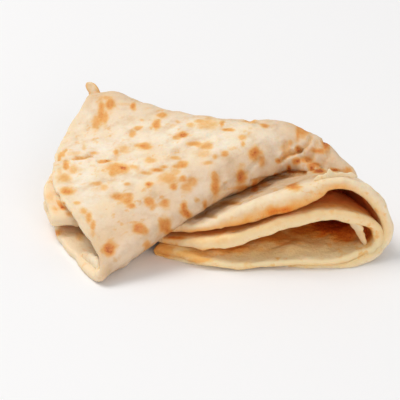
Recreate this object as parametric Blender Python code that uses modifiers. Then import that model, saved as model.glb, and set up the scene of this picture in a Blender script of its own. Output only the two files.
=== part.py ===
"""A layered flatbread: a soft, thin bread folded over and over, lying as one pile on a flat surface.

Two lobes make the pile. The lower lobe shows its folded layers to the front and turns round at
the right. The upper lobe lies across it, rolls over along its front edge, and opens to the left.
Each lobe is folded in quarters, so its rim is a closed loop of sheet: a lowest layer, a fold, a
top layer, a lip back inward, two inner layers with their own fold, and a lip down to the start.
A lobe is that loop carried from the rim, where its share is 0, to the tip, where it is 1.
Lengths in this file are millimetres, x to the right, y to the back and z up; TO_METRES turns
them into Blender's metres.
"""

import bpy
import numpy as np

TO_METRES = 0.001
NODE = "flatbread"

SHEET = 6.0  # usual thickness of the sheet
VOXEL = 1.4  # size of the cubes that fuse the layers into one body
FACES = 11500  # triangles left in the solid
BASE = 0.9  # height at which the underside is cut level, to rest flat
CUTTER = 500.0  # size of the cube that cuts it
CREAM = (0.87, 0.74, 0.53, 1.0)

# The upper lobe: plan of its two folds, from the rim at the left to the tip at the right.
UPPER_STATIONS = (0.0, 0.2, 0.4, 0.6, 0.78, 0.9, 1.0)
UPPER_FRONT = ((-69, -50), (-34, -26), (0, -3), (33, 18), (62, 34), (83, 20), (107, 8))
UPPER_BACK = ((-77, 142), (-46, 122), (-14, 98), (22, 81), (53, 71), (76, 54), (102, 24))
UPPER_TOP = (  # height of the top layer at each station, from the front fold to the back fold
    (17, 29, 35, 42, 56),
    (33, 39, 44, 50, 58),
    (47, 53, 56, 58, 60),
    (57, 63, 65, 64, 61),
    (59, 67, 69, 68, 62),
    (50, 60, 64, 64, 59),
    (43, 48, 50, 50, 46),
)
UPPER_ACROSS = (0.08, 0.28, 0.5, 0.74, 0.95)  # where those heights are, as a share of the way back
UPPER_RIM_BULGE = 31  # how far the rim bows out between its two corners
INNER_ACROSS = (0.0, 0.3, 0.42, 0.55, 0.66, 0.8, 1.0)
INNER_REACH = (7, 8, 10, 9, 0, -5, -3)  # how far the inner layers stick out past the top one there
INNER_FOLD = (0.34, 0.18)  # how far across their own fold lies, at the rim and past INNER_FOLD_TO
INNER_FOLD_TO = 0.4
UPPER_TOP_SHEET = 5.2  # thickness of the top layer
UPPER_FOLD_SHEET = 8.0  # thickness at the front fold
FRONT_FOLD_LAYER = 0.42  # heights within the lobe, from 0 for the lowest layer to 1 for the top one
UPPER_LIP_LAYER = 0.83
INNER_TOP_LAYER = 0.65
INNER_FOLD_LAYER = 0.5
INNER_BOTTOM_LAYER = 0.36
LOWER_LIP_LAYER = 0.18

# The lower lobe: the path of its rim and the thickness there, as (x, y, z, thickness).
LOWER_RIM_BOTTOM = (
    (-28, -12, 2.6, 5), (0, -28, 2.4, 4.6), (44, -27, 2.2, 4.2), (90, -34, 2.2, 4.2), (114, -27, 4, 6),
)
LOWER_RIM_FOLD = ((126.5, -15, 12, 8), (129, -10, 23, 8), (123, -8, 36, 8.5))
LOWER_RIM_TOP = (
    (113, -8, 47, 8), (100, -9, 53.5, 7.5), (86, -11, 54, 7.5), (76, -14, 50, 11.5), (58, -17, 44.5, 14),
    (36, -20, 38.5, 14), (18, -22, 33, 10), (3, -21, 26.5, 5),
)
LOWER_RIM_LIP = ((-18, -12, 20, 5), (-34, 0, 14.5, 5))
LOWER_RIM_INNER_TOP = (
    (-28, -9, 10.5, 5), (-10, -22, 14, 6), (6, -28, 16.5, 8), (21, -30, 20, 9), (37, -29, 24.5, 9),
    (53, -27, 29.5, 9), (74, -23, 33, 9), (91, -20, 35, 8.5), (105, -17, 32, 8),
)
LOWER_RIM_INNER_FOLD = ((118, -14, 25.5, 8), (122.5, -16, 17, 8), (116, -22, 9.5, 6))
LOWER_RIM_INNER_BOTTOM = (
    (90, -31, 6.8, 4.4), (60, -33, 6, 4.4), (30, -36, 4, 4.6), (5, -33, 5.4, 5), (-16, -23, 7.5, 5),
)
LOWER_STATIONS = (0.0, 0.1, 0.25, 0.5, 0.75, 0.92, 1.0)
LOWER_HEIGHT = (1.0, 0.96, 0.88, 0.79, 0.68, 0.52, 0.3)  # heights there, against the rim's
LOWER_SHEET = (1.0, 0.35, 0.0, 0.0, 0.0, 0.0, 0.0)  # how far the rim's thickness is kept there
LOWER_TIP = (54, 114)  # plan of the tip, under the upper lobe's back fold
LOWER_TIP_WIDTH = 0.14  # width of the tip, against the rim's
LOWER_HALF = 75  # half the width of the rim
LOWER_BELLY = 7  # how far the fold side bows out halfway to the tip
LOWER_BELOW = 2.3  # height of the middle of the lowest layer

CORE_FROM = 0.45  # share of the way to the tip from where the layers are pressed together
CORE_SIZE = 0.97  # size of that filling against the outline of the layers' middles

# The ear that stands up at the back corner, and the torn strip inside the lower fold: the middle
# line of each, with a width and the direction of that width.
EAR_PATH = ((-76, 141, 50), (-79, 146, 54), (-82, 150, 58), (-83.5, 153, 62.5))
EAR_WIDTH = (13, 12, 11, 6)
STRIP_PATH = ((104, -13, 32), (108, -16, 25), (111.5, -17, 18), (115.5, -18, 9))
STRIP_WIDTH = (6, 5, 4, 5)
ACROSS_X = (0.9, -0.42)
SCRAP_THICKNESS = 3.8
SCRAP_HOLLOW = 1.5  # how far the edges of such a piece stand out from its middle

# Flakes torn up along the top of the lower lobe: place and size of each, as (x, y, z, radius, height).
FLAKES = ((89, -4, 54, 3.2, 12), (93, -9, 56, 3.5, 9), (80, -6, 50, 4, 9), (100, -2, 52, 4, 9))


def smooth_curve(points, steps, closed=False):
    """Points along a Catmull-Rom curve through the given ones, with this many steps between two."""
    p = np.asarray(points, float)
    if closed:
        p = np.concatenate([p[-1:], p, p[:2]])
    else:
        p = np.concatenate([2 * p[:1] - p[1:2], p, 2 * p[-1:] - p[-2:-1]])
    t = (np.arange(steps) / steps).reshape((-1,) + (1,) * (p.ndim - 1))
    parts = []
    for a, b, c, d in zip(p, p[1:], p[2:], p[3:]):
        cubic = (3 * (b - c) + d - a) * t**3
        parts.append(b + ((c - a) * t + (2 * a - 5 * b + 4 * c - d) * t**2 + cubic) / 2)
    curve = np.concatenate(parts)
    return curve if closed else np.concatenate([curve, p[-2:-1]])


def between(values, stations, where):
    """The values at one place between the stations."""
    return np.array([np.interp(where, stations, column) for column in np.transpose(values)])


def lower_rim():
    """The closed loop of the lower lobe's rim: a row of x, y, z and thickness for each point."""
    loop = LOWER_RIM_BOTTOM + LOWER_RIM_FOLD + LOWER_RIM_TOP + LOWER_RIM_LIP
    loop += LOWER_RIM_INNER_TOP + LOWER_RIM_INNER_FOLD + LOWER_RIM_INNER_BOTTOM
    return np.array(loop, float)


def lower_loop(share):
    """The lower lobe's loop at a share of the way to the tip."""
    rim = lower_rim()
    height = np.interp(share, LOWER_STATIONS, LOWER_HEIGHT)
    keep = np.interp(share, LOWER_STATIONS, LOWER_SHEET)
    tip_x = LOWER_TIP[0] + LOWER_TIP_WIDTH * (rim[:, 0] - LOWER_TIP[0])
    belly = LOWER_BELLY * np.sin(np.pi * share) * (rim[:, 0] - LOWER_TIP[0]) / LOWER_HALF
    x = rim[:, 0] + share * (tip_x - rim[:, 0]) + belly
    y = rim[:, 1] + share * (LOWER_TIP[1] - rim[:, 1])
    z = LOWER_BELOW + (rim[:, 2] - LOWER_BELOW) * height
    thick = SHEET + keep * (rim[:, 3] - SHEET)
    thick = np.where(z < SHEET, np.minimum(thick, 2 * z), thick)
    return np.stack([x, y, z, thick], axis=1)


def lower_top(x, y):
    """Height of the upper face of the lower lobe at a place in plan, or of the table beside it."""
    crest = np.array((LOWER_RIM_FOLD + LOWER_RIM_TOP + LOWER_RIM_LIP)[::-1], float)
    front = crest[:, 1].mean()
    share = np.clip((y - front) / (LOWER_TIP[1] - front), 0, 1)
    rim_x = LOWER_TIP[0] + (x - LOWER_TIP[0]) / (1 - share * (1 - LOWER_TIP_WIDTH))
    height = np.interp(share, LOWER_STATIONS, LOWER_HEIGHT)
    crest_z = np.interp(rim_x, crest[:, 0], crest[:, 2], left=0, right=0)
    return np.where(crest_z > 0, LOWER_BELOW + (crest_z - LOWER_BELOW) * height + SHEET / 2, 0)


def upper_loop(share):
    """The upper lobe's loop at a share of the way to the tip."""
    front = between(UPPER_FRONT, UPPER_STATIONS, share)
    back = between(UPPER_BACK, UPPER_STATIONS, share)
    tops = between(UPPER_TOP, UPPER_STATIONS, share)
    along = back - front
    inward = np.array([along[1], -along[0]]) / np.linalg.norm(along)
    spread = (1 - share) ** 1.5

    def point(across, layer, inner=False, thick=SHEET):
        """A point of the loop: layer 0 is the lowest one and 1 the top one."""
        reach = np.interp(across, INNER_ACROSS, INNER_REACH) if inner else 0
        bulge = 4 * across * (1 - across) * UPPER_RIM_BULGE + reach
        x, y = front + along * across - inward * bulge * spread
        top = np.interp(across, UPPER_ACROSS, tops)
        low = min(max(SHEET / 2, lower_top(x, y) + SHEET / 2), top - 2)
        return (x, y, low + layer * (top - low), thick)

    fold = np.interp(share, (0, INNER_FOLD_TO), INNER_FOLD)
    rolled = (0.95, 0.74, 0.5, fold + 0.04)
    loop = [point(a, 0) for a in (0.95, 0.74, 0.5, 0.28, 0.1)]
    loop += [point(-0.02, FRONT_FOLD_LAYER, thick=UPPER_FOLD_SHEET)]
    loop += [point(a, 1, thick=UPPER_TOP_SHEET) for a in UPPER_ACROSS]
    loop += [point(1.02, UPPER_LIP_LAYER)]
    loop += [point(a, INNER_TOP_LAYER, inner=True) for a in rolled]
    loop += [point(fold - 0.03, INNER_FOLD_LAYER, inner=True)]
    loop += [point(a, INNER_BOTTOM_LAYER, inner=True) for a in rolled[::-1]]
    loop += [point(1.02, LOWER_LIP_LAYER)]
    return np.array(loop)


def core_ring(loop, share):
    """The part of a loop's outline that is filled where the layers are pressed together."""
    ring = loop(share)
    centre = ring[:, :3].mean(axis=0)
    outside = slice(1, 10) if loop is upper_loop else slice(0, 17)
    return centre + (ring[outside, :3] - centre) * CORE_SIZE


def grid_faces(rows, length, closed):
    """Quads between rows of points, where a closed row's last point joins its first."""
    last = length if closed else length - 1
    faces = []
    for i in range(rows - 1):
        for j in range(last):
            k = (j + 1) % length
            faces.append((i * length + j, i * length + k, (i + 1) * length + k, (i + 1) * length + j))
    return faces


def add_sheet(name, rows, closed):
    """A sheet through rows of x, y, z and thickness, as a solid of that thickness."""
    count, length = rows.shape[:2]
    mesh = bpy.data.meshes.new(name)
    points = rows[:, :, :3].reshape(-1, 3) * TO_METRES
    mesh.from_pydata(points.tolist(), [], grid_faces(count, length, closed))
    obj = bpy.data.objects.new(name, mesh)
    bpy.context.scene.collection.objects.link(obj)
    thickness = rows[:, :, 3].ravel()
    group = obj.vertex_groups.new(name="thickness")
    for index, value in enumerate(thickness):
        group.add([index], value / thickness.max(), "REPLACE")
    shell = obj.modifiers.new("thickness", "SOLIDIFY")
    shell.thickness = thickness.max() * TO_METRES
    shell.offset = 0
    shell.vertex_group = "thickness"
    return obj


def add_lobe(name, loop, stations):
    """One lobe: its loops, smoothed both ways."""
    rings = [smooth_curve(loop(share), 4, closed=True) for share in stations]
    return add_sheet(name, smooth_curve(rings, 4), closed=True)


def add_core(name, loop):
    """A closed filling between the layers of a lobe, where they lie on each other."""
    rings = np.array([core_ring(loop, share) for share in np.linspace(CORE_FROM, 1, 8)])
    count, length = rings.shape[:2]
    faces = grid_faces(count, length, closed=True)
    faces.append(tuple(range(length))[::-1])
    faces.append(tuple(range((count - 1) * length, count * length)))
    mesh = bpy.data.meshes.new(name)
    mesh.from_pydata((rings.reshape(-1, 3) * TO_METRES).tolist(), [], faces)
    obj = bpy.data.objects.new(name, mesh)
    bpy.context.scene.collection.objects.link(obj)
    return obj


def add_scrap(name, path, widths):
    """A narrow torn piece of sheet along a path, hollowed a little across its width."""
    middle = smooth_curve(path, 4)
    half = smooth_curve(np.array(widths)[:, None], 4) / 2
    side = np.array([ACROSS_X[0], ACROSS_X[1], 0])
    steps = np.linspace(-1, 1, 5)
    rows = np.stack([middle + half * side * t + (0, SCRAP_HOLLOW * t * t, 0) for t in steps])
    thick = np.full(rows.shape[:2] + (1,), SCRAP_THICKNESS)
    return add_sheet(name, np.concatenate([rows, thick], axis=2), closed=False)


def add_flake(name, x, y, z, radius, height):
    """A pointed flake of crust standing on a torn edge."""
    bpy.ops.mesh.primitive_cone_add(vertices=7, radius1=radius * TO_METRES, radius2=0,
                                    depth=height * TO_METRES,
                                    location=[value * TO_METRES for value in (x, y, z)])
    flake = bpy.context.object
    flake.name = name
    flake.scale.y = 0.5
    return flake


def apply_modifiers(obj):
    """The object with the mesh that its modifiers give, and no modifiers left."""
    bpy.context.view_layer.update()
    graph = bpy.context.evaluated_depsgraph_get()
    mesh = bpy.data.meshes.new_from_object(obj.evaluated_get(graph))
    obj.modifiers.clear()
    obj.vertex_groups.clear()
    obj.data = mesh


def fuse(pieces):
    """One object of all the pieces, joined into one closed body where they meet or overlap."""
    for piece in pieces:
        apply_modifiers(piece)
    with bpy.context.temp_override(active_object=pieces[0], selected_editable_objects=pieces):
        bpy.ops.object.join()
    body = pieces[0]
    body.name = NODE
    remesh = body.modifiers.new("fuse", "REMESH")
    remesh.mode = "VOXEL"
    remesh.voxel_size = VOXEL * TO_METRES
    soften = body.modifiers.new("soften", "SMOOTH")
    soften.factor = 0.5
    soften.iterations = 3
    apply_modifiers(body)
    return body


def keep_outer_body(body):
    """Drops loose scraps and the skins of sealed hollows, which leaves the one outer skin."""
    mesh = body.data
    parent = list(range(len(mesh.vertices)))

    def root(index):
        while parent[index] != index:
            parent[index] = parent[parent[index]]
            index = parent[index]
        return index

    for edge in mesh.edges:
        a, b = map(root, edge.vertices)
        parent[a] = b
    roots = np.array([root(i) for i in range(len(parent))])
    labels, sizes = np.unique(roots, return_counts=True)
    drop = set(np.flatnonzero(roots != labels[sizes.argmax()]).tolist())
    kept = [i for i in range(len(parent)) if i not in drop]
    place = {old: new for new, old in enumerate(kept)}
    faces = [[place[i] for i in face.vertices] for face in mesh.polygons if face.vertices[0] not in drop]
    clean = bpy.data.meshes.new(NODE)
    clean.from_pydata([mesh.vertices[i].co[:] for i in kept], [], faces)
    body.data = clean


def thin_out(body):
    """Reduces the body to its share of triangles."""
    triangles = sum(len(face.vertices) - 2 for face in body.data.polygons)
    decimate = body.modifiers.new("thin", "DECIMATE")
    decimate.ratio = FACES / triangles
    decimate.use_collapse_triangulate = True
    apply_modifiers(body)


def flatten_base(body):
    """Cuts the underside level, so that the pile rests flat."""
    bpy.ops.mesh.primitive_cube_add(size=CUTTER * TO_METRES,
                                    location=(0, 0, (BASE - CUTTER / 2) * TO_METRES))
    cutter = bpy.context.object
    cut = body.modifiers.new("base", "BOOLEAN")
    cut.operation = "DIFFERENCE"
    cut.solver = "EXACT"
    cut.object = cutter
    apply_modifiers(body)
    bpy.data.objects.remove(cutter)


def centre_on_base(body):
    """Puts the middle of the bread's box on the vertical axis and its lowest face at height 0."""
    points = np.array([vertex.co[:] for vertex in body.data.vertices])
    low, high = points.min(axis=0), points.max(axis=0)
    middle = (low + high) / 2
    for vertex in body.data.vertices:
        vertex.co.x -= middle[0]
        vertex.co.y -= middle[1]
        vertex.co.z -= low[2]


def bread_material():
    """Soft pale crumb."""
    material = bpy.data.materials.new("bread")
    material.use_nodes = True
    shader = material.node_tree.nodes["Principled BSDF"]
    shader.inputs["Base Color"].default_value = CREAM
    shader.inputs["Roughness"].default_value = 0.75
    shader.inputs["Metallic"].default_value = 0.0
    return material


def main():
    """Makes the bread."""
    for old in list(bpy.data.objects):
        bpy.data.objects.remove(old)
    pieces = [
        add_lobe("lower_lobe", lower_loop, LOWER_STATIONS),
        add_lobe("upper_lobe", upper_loop, UPPER_STATIONS),
        add_core("lower_core", lower_loop),
        add_core("upper_core", upper_loop),
        add_scrap("ear", EAR_PATH, EAR_WIDTH),
        add_scrap("strip", STRIP_PATH, STRIP_WIDTH),
    ]
    pieces += [add_flake(f"flake_{number}", *flake) for number, flake in enumerate(FLAKES)]
    body = fuse(pieces)
    keep_outer_body(body)
    thin_out(body)
    flatten_base(body)
    centre_on_base(body)
    body.data.materials.append(bread_material())


main()
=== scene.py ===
"""Looks of the layered flatbread: two folded lobes of thin bread with ragged rims, pan spots and painted
shade.

Lengths are millimetres until a mesh is made, x to the right, y to the back and z up. A place
named in pixels is a place in the photograph's frame of 400 by 400, and is carried onto the bread
along the camera's line of sight.
"""

import bpy
import numpy as np
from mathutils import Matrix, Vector
from mathutils.bvhtree import BVHTree

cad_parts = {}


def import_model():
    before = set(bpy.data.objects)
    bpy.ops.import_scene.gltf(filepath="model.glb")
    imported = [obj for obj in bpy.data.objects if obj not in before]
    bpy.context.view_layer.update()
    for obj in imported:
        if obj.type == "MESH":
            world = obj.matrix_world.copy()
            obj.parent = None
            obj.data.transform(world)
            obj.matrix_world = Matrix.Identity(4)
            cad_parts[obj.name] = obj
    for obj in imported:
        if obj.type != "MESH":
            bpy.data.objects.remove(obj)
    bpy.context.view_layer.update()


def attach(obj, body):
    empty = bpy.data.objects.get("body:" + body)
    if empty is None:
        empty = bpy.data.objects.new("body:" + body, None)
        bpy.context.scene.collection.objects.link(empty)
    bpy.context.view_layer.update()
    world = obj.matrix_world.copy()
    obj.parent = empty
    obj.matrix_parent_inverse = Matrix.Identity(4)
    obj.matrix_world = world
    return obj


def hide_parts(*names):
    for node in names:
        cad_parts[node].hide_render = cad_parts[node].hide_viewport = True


TO_METRES = 0.001
TINY = 1e-9
NODE = "flatbread"
CENTRE = (9.03, 49.86, 0.9)  # where the frame's origin lies in this script's millimetres

# The camera, as the photograph was taken.
FRAME_PIXELS = 400
ORIGIN_PIXEL = (200, 247)  # where x = y = z = 0 shows
ELEVATION = 26.0
DISTANCE = 1200.0
MM_PER_PIXEL = 0.7
SENSOR = 36.0

# Lamps: the place in metres, the side, the power in watts and the colour.
LIGHTS = {
    "key": ((-1.8, 0.9, 3.3), 2.2, 84, (1, 0.98, 0.95)),
    "fill": ((0.9, -3.2, 1.3), 2.0, 32, (1, 1, 1)),
}
WORLD_STRENGTH = 0.5
FLOOR_SIDE = 8  # metres
FLOOR_COLOUR = (0.93, 0.93, 0.94, 1)
FLOOR_ROUGHNESS = 0.6

# Sizes of the sheet and of its mesh.
SHEET = 6.0
SPACING = 1.15  # between the points of a sheet's mesh
COARSER = 2.2  # how much wider it is where little shows
LINING_SEEN = 45.0  # how far in from the rim the inner face keeps its finest rows
CAP_ROWS = 7  # rows of points that round the rim
TIP_ROWS = 8  # rows of points that close the tip
UPPER_TIP_REACH = 2.5  # how far the closed tip stands out
LOWER_TIP_REACH = 6.0
LAST_RING = 0.02  # how small the loop is drawn together there
TIGHTEST = 0.8  # share of a bend's radius that a face may lie from the sheet's middle
CRUMB = 0.22  # how much the rounding of the rim varies
CRUMPLE = 1.7  # height of the waves inside the lower lobe
RAGGED = 1.1  # how far the edges of the torn pieces run in and out
SUNK = 3.0  # how far the upper lobe's tip may sink into the lower one's sheet
TIP_PART = 0.7  # share of the upper lobe's length where its tip begins
THINNED = (0.45, 0.75)  # shares of the way to the tip over which the hidden inner layers get thin
THINNED_BY = 0.92  # the share of their thickness that goes
PRESSED = (0.35, 0.6)  # shares of the way over which the layers get pressed together
PRESSED_TO = 0.1  # how much of the sheet's inner half is left there
FADED = (0.7, 0.9)  # shares of the way over which the hollow's painted shade fades out
RIM_BAND = 3.0  # how far in from the edge the rim reaches
CAP_REACH = 0.42  # how far the rounded rim stands out, as a share of the thickness
RIM_SMOOTHED = 6  # points on each side that its direction is taken over
BEND_SMOOTHED = 2  # points on each side that a bend is taken over
LEAST_BEND = 1e-3  # below this the sheet counts as flat
ROWS_KEPT = 3  # one row in so many is kept of the inner face deep inside
FLAT_SHIFT = 500  # parts the inner face's patterns from the outer's

# Noise: numbers that scramble the cells of a grid, and how domes lie in their cells.
SEED_MIX = 0x9E3779B97F4A7C15
CELL_MIX = 0xBF58476D1CE4E5B9
AXIS_MIX = 0x94D049BB
LAST_MIX = 0x94D049BB133111EB
GRID_SHIFT = 4096  # keeps the numbers of the cells above 0
WAVES_SUM = 1.5  # brings added waves back to about -1 to 1
DOME_PLACE = (0.2, 0.6)
DOME_RADIUS = (0.22, 0.3)
DOME_STRETCH = 1.5

# Relief, each as its height or strength and the size of its waves.
WAVES = (1.3, 42)
RIM_RUNS = (2.2, 26)  # how the rim runs in and out
RIM_RUNS_DEPTH = 9  # how far in from the rim that is felt
THICKNESS_VARIES = (0.16, 17)
BLISTERS = (0.9, 15)
BLISTER_CHANCE = 0.6
DIMPLES = (0.5, 9)
INNER_RELIEF = 0.7  # the inner face's relief as a share of the outer one's
CRUMB_SIZE = 5
CRUMPLE_SIZE = 15
CRUMPLE_STRETCH = (0.6, 1.0)
CRUMPLE_FROM = (3, 14)  # how far in from the rim the waves inside the lower lobe begin

# Seeds of the sheets and torn pieces, and what each pattern adds to a sheet's.
UPPER_SEED = 100
LOWER_SEED = 300
SCRAP_SEED = 500
RIM_SEED = 20
THICKNESS_SEED = 40
OUTER_SEED = 60
INNER_SEED = 80
DIMPLE_SEED = 7
RAGGED_SEED = 90
SPOT_SEED = 93
SMALL_SPOT_SEED = 97
CRUMB_SEED = 130
CRUMPLE_SEED = 140

# The upper lobe, from the rim at the left to the tip at the right.
UPPER_STATIONS = (0.0, 0.2, 0.4, 0.6, 0.78, 0.9, 1.0)
UPPER_FRONT = ((-69, -50), (-34, -26), (0, -3), (33, 18), (62, 34), (83, 20), (107, 8))
UPPER_BACK = ((-77, 142), (-46, 122), (-14, 98), (22, 81), (53, 71), (76, 54), (102, 24))
UPPER_TOP = (
    (17, 29, 35, 42, 56),
    (33, 39, 44, 50, 58),
    (47, 53, 56, 58, 60),
    (57, 63, 65, 64, 61),
    (59, 67, 69, 68, 62),
    (50, 60, 64, 64, 59),
    (43, 48, 50, 50, 46),
)
UPPER_ACROSS = (0.08, 0.28, 0.5, 0.74, 0.95)
UPPER_RIM_BULGE = 31
TOP_REACH = (-6, -6, -1, 0, 0)  # how far the top layer stands out past the bulge
UPPER_BUMP = (-63, 131, 15, 5)  # the raised fold at the back corner: x, y, radius and height
BULGE_FADE = 1.5  # how fast the rim's bulge goes on the way to the tip
FOLD_ACROSS = -0.02  # how far across the loop the front fold and the back lips lie
LIP_ACROSS = 1.02
INNER_TURN = (0.04, -0.03)  # where the inner fold begins and turns, past its own place
LEAST_GAP = 2  # between the lowest layer and the top one
INNER_ACROSS = (0.0, 0.3, 0.42, 0.55, 0.66, 0.8, 1.0)
INNER_REACH = (5, 4, 4, 5, 0, -5, -3)  # how far the inner layers do
INNER_FOLD = (0.34, 0.18)
INNER_FOLD_TO = 0.4
FOLD_BELOW = (0.02, 0.1)  # where the points beside the front fold lie, at the rim and past it
FOLD_ABOVE = (0.03, 0.08)
FOLD_ROUNDED_TO = 0.2
UPPER_TOP_SHEET = 5.2
UPPER_FOLD_SHEET = 8.0
FRONT_FOLD_LAYER = 0.42
UPPER_LIP_LAYER = 0.83
INNER_TOP_LAYER = 0.65
INNER_FOLD_LAYER = 0.5
INNER_BOTTOM_LAYER = 0.36
LOWER_LIP_LAYER = 0.18

# The lower lobe: the path of its rim, as (x, y, z, thickness).
LOWER_RIM = {
    "bottom": (
        (-28, -12, 2.6, 5), (0, -28, 2.4, 4.6), (44, -27, 2.2, 4.2), (90, -34, 2.2, 4.2),
        (114, -27, 4, 6),
    ),
    "fold": ((126.5, -15, 12, 8), (129, -10, 23, 8), (123, -8, 36, 8.5)),
    "top": (
        (113, -8, 47, 8), (100, -9, 53.5, 7.5), (86, -11, 54, 7.5), (76, -14, 50, 11.5),
        (58, -17, 44.5, 14), (36, -20, 38.5, 14), (18, -22, 33, 10), (3, -21, 26.5, 5),
    ),
    "lip": ((-18, -12, 20, 5), (-34, 0, 14.5, 5)),
    "inner top": (
        (-28, -9, 10.5, 5), (-10, -22, 14, 6), (6, -28, 17, 8), (21, -30, 21, 9), (37, -29, 26, 9),
        (53, -27, 31, 8.5), (74, -23, 35, 8), (91, -20, 35.5, 7.5), (105, -17, 32, 7.5),
    ),
    "inner fold": ((118, -14, 25.5, 8), (122.5, -16, 17, 8), (116, -22, 9.5, 6)),
    "inner bottom": (
        (90, -31, 6.8, 4.4), (60, -33, 6, 4.4), (30, -36, 4, 4.6), (5, -33, 5.4, 5),
        (-16, -23, 7.5, 5),
    ),
}
LOWER_CREST = ("fold", "top", "lip")
LOWER_STATIONS = (0.0, 0.1, 0.25, 0.5, 0.75, 0.92, 1.0)
LOWER_HEIGHT = (1.0, 0.96, 0.88, 0.79, 0.68, 0.52, 0.3)
LOWER_SHEET = (1.0, 0.35, 0, 0, 0, 0, 0)
LOWER_TIP = (54, 114)
LOWER_TIP_WIDTH = 0.14
LOWER_HALF = 75
LOWER_BELLY = 7
LOWER_BELOW = 2.3

# Stretches of each loop, counted in its points: what lines the hollow, what shows, what rolls
# over and what lies under the upper lobe.
LOWER_WALLS = (17.2, 34.6)
UPPER_WALLS = (12.0, 20.6)
LOWER_FLOOR = (29.6, 34.9)
UPPER_SEEN = (4.0, 11.4)
LOWER_SEEN = (-1, 40)
UPPER_ROLL = (3.8, 6.4)  # the front fold, painted darker than the top as shade, and the back edge, which is darker than the top
UPPER_BACK_EDGE = (9.7, 11.5)
UPPER_BACK_TAN = 0.7
LOWER_COVERED = (8.5, 16.5)
STRETCH_FADE = (0.7, 0.5)  # how far a stretch fades outside its ends and inside them
AMBER_FROM = (8.2, 9.4)  # where the painted shade on the underside of the thick band begins along the loop
AMBER_TO = (15.2, 16.4)
AMBER_DEPTH = 9  # millimetres in from the rim
AMBER_FACE = 0.75  # how far that painted shade runs over the rim onto the outer face
# Depths in from the rim where the painted shade under the upper lobe begins.
SHADE_UNDER_LOBE_FROM = (4, 13)
TIP_TAN = (115, 150)

# Colours of the bread, alone or as stops along noise, the depth in from the rim or the darkening. Those
# marked below are painted shade.
SKIN = ((0.3, (229, 201, 166)), (0.48, (241, 222, 195)), (0.66, (249, 236, 216)))
GOLDEN_SKIN = (240, 208, 158)
RIM_SKIN = (242, 218, 176)
# Painted shade on the lower lobe where the upper lobe covers it.
COVERED_SHADE = ((0.35, (202, 168, 131)), (0.6, (214, 186, 151)), (0.75, (223, 197, 160)))
# Multiplied in as painted shade on the upper lobe's front roll, and as a darker tone on its back edge and
# towards its tip.
TAN = (236, 225, 217)
# The orange of the painted shade on the thick band's underside.
AMBER = (249, 206, 143)
# Painted shade: the hollow's walls get darker and redder the deeper in from the rim they lie.
HOLLOW_WALLS = (
    (0.0, (244, 216, 166)), (0.1, (244, 204, 142)), (0.28, (232, 170, 102)), (0.5, (186, 104, 52)),
    (1.0, (100, 42, 18)),
)
# Painted shade: the hollow's floor gets darker and more golden deeper in.
HOLLOW_FLOOR = (
    (0.0, (246, 222, 176)), (0.15, (252, 220, 162)), (0.45, (250, 202, 126)), (1.0, (214, 144, 74)),
)
# Painted shade: the lower lobe's inner faces, in its crevice, get darker and more orange deeper in.
GOLDEN_LINING = (
    (0.0, (244, 212, 160)), (0.12, (240, 172, 92)), (0.35, (248, 156, 74)), (1.0, (240, 136, 62)),
)
# Painted shade: the upper lobe's inner faces get darker deeper in.
PALE_LINING = ((0.0, (246, 222, 186)), (0.3, (240, 212, 172)), (1.0, (200, 152, 104)))
# Colours for pan spots, and for the painted shade that goes in with them.
CRUST_AND_SHADE = (
    (0.0, (255, 255, 255)), (0.12, (254, 240, 218)), (0.35, (250, 214, 160)),
    (0.6, (245, 190, 118)), (0.85, (233, 156, 82)), (1.0, (198, 110, 52)),
)
WALLS_DEPTH = 90  # how far in from the rim the walls' last colour lies
LINING_DEPTH = 60
SPECULAR = 0.3
SUBSURFACE = 0.25
SUBSURFACE_RADIUS = (1.0, 0.5, 0.25)
SUBSURFACE_SCALE = 0.004

# Torn pieces: the middle line of each, the width along it, the thickness, the way it is wide, and
# how brown its edges are.
SCRAPS = {
    "ear": (((-74, 137, 47), (-76, 141, 50), (-79, 146, 54), (-82, 150, 58), (-83.5, 153, 62.5)),
            (13, 12, 12, 11, 6), 3.8, (0.9, -0.42, 0), 0.3),
    "strip": (((102, -12, 34), (106, -16, 27), (110, -17, 20), (113.5, -18, 11)),
              (13, 9, 6, 3), 3.2, (0.9, -0.42, 0), 0.15),
    "flake": (((89, -8, 56), (88.5, -7, 60), (88, -6, 63.5)), (6, 3.5, 1.2), 1.3, (0.95, 0.3, 0), 0.0),
    "torn_edge": (((77, -9, 56), (83, -8, 58), (90, -7, 58.6), (100, -5, 58.4), (108, -3, 56.2)),
                  (2, 3.4, 4, 3, 2), 1.5, (0, 0.35, 0.94), 0.0),
    "corner": (((-66, -49, 6), (-68, -44, 7), (-71.5, -37, 7.4), (-76, -29, 7), (-80, -21, 5.5)),
               (8, 10, 9, 7, 3), 5.5, (0, 0.3, 0.95), 0.0),
}

# Mesh and edges of the torn pieces.
SCRAP_SPACING = 0.8
SCRAP_POINTS = 40
SCRAP_SQUARENESS = 0.7  # below 1 the pieces have flatter faces than an ellipse
SCRAP_THINNEST = 0.3
SCRAP_PINCH = 12  # the higher, the shorter the pinched ends
SCRAP_WAVES = (0.4, 6)
SCRAP_DEPTH = 4  # as bread this far in from a rim is coloured
SCRAP_BROWNEST = 0.8

# Length of each lobe from the rim to the tip, which lays its sheet out flat for the patterns.
UPPER_LENGTH = 180.0
LOWER_LENGTH = 130.0

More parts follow.
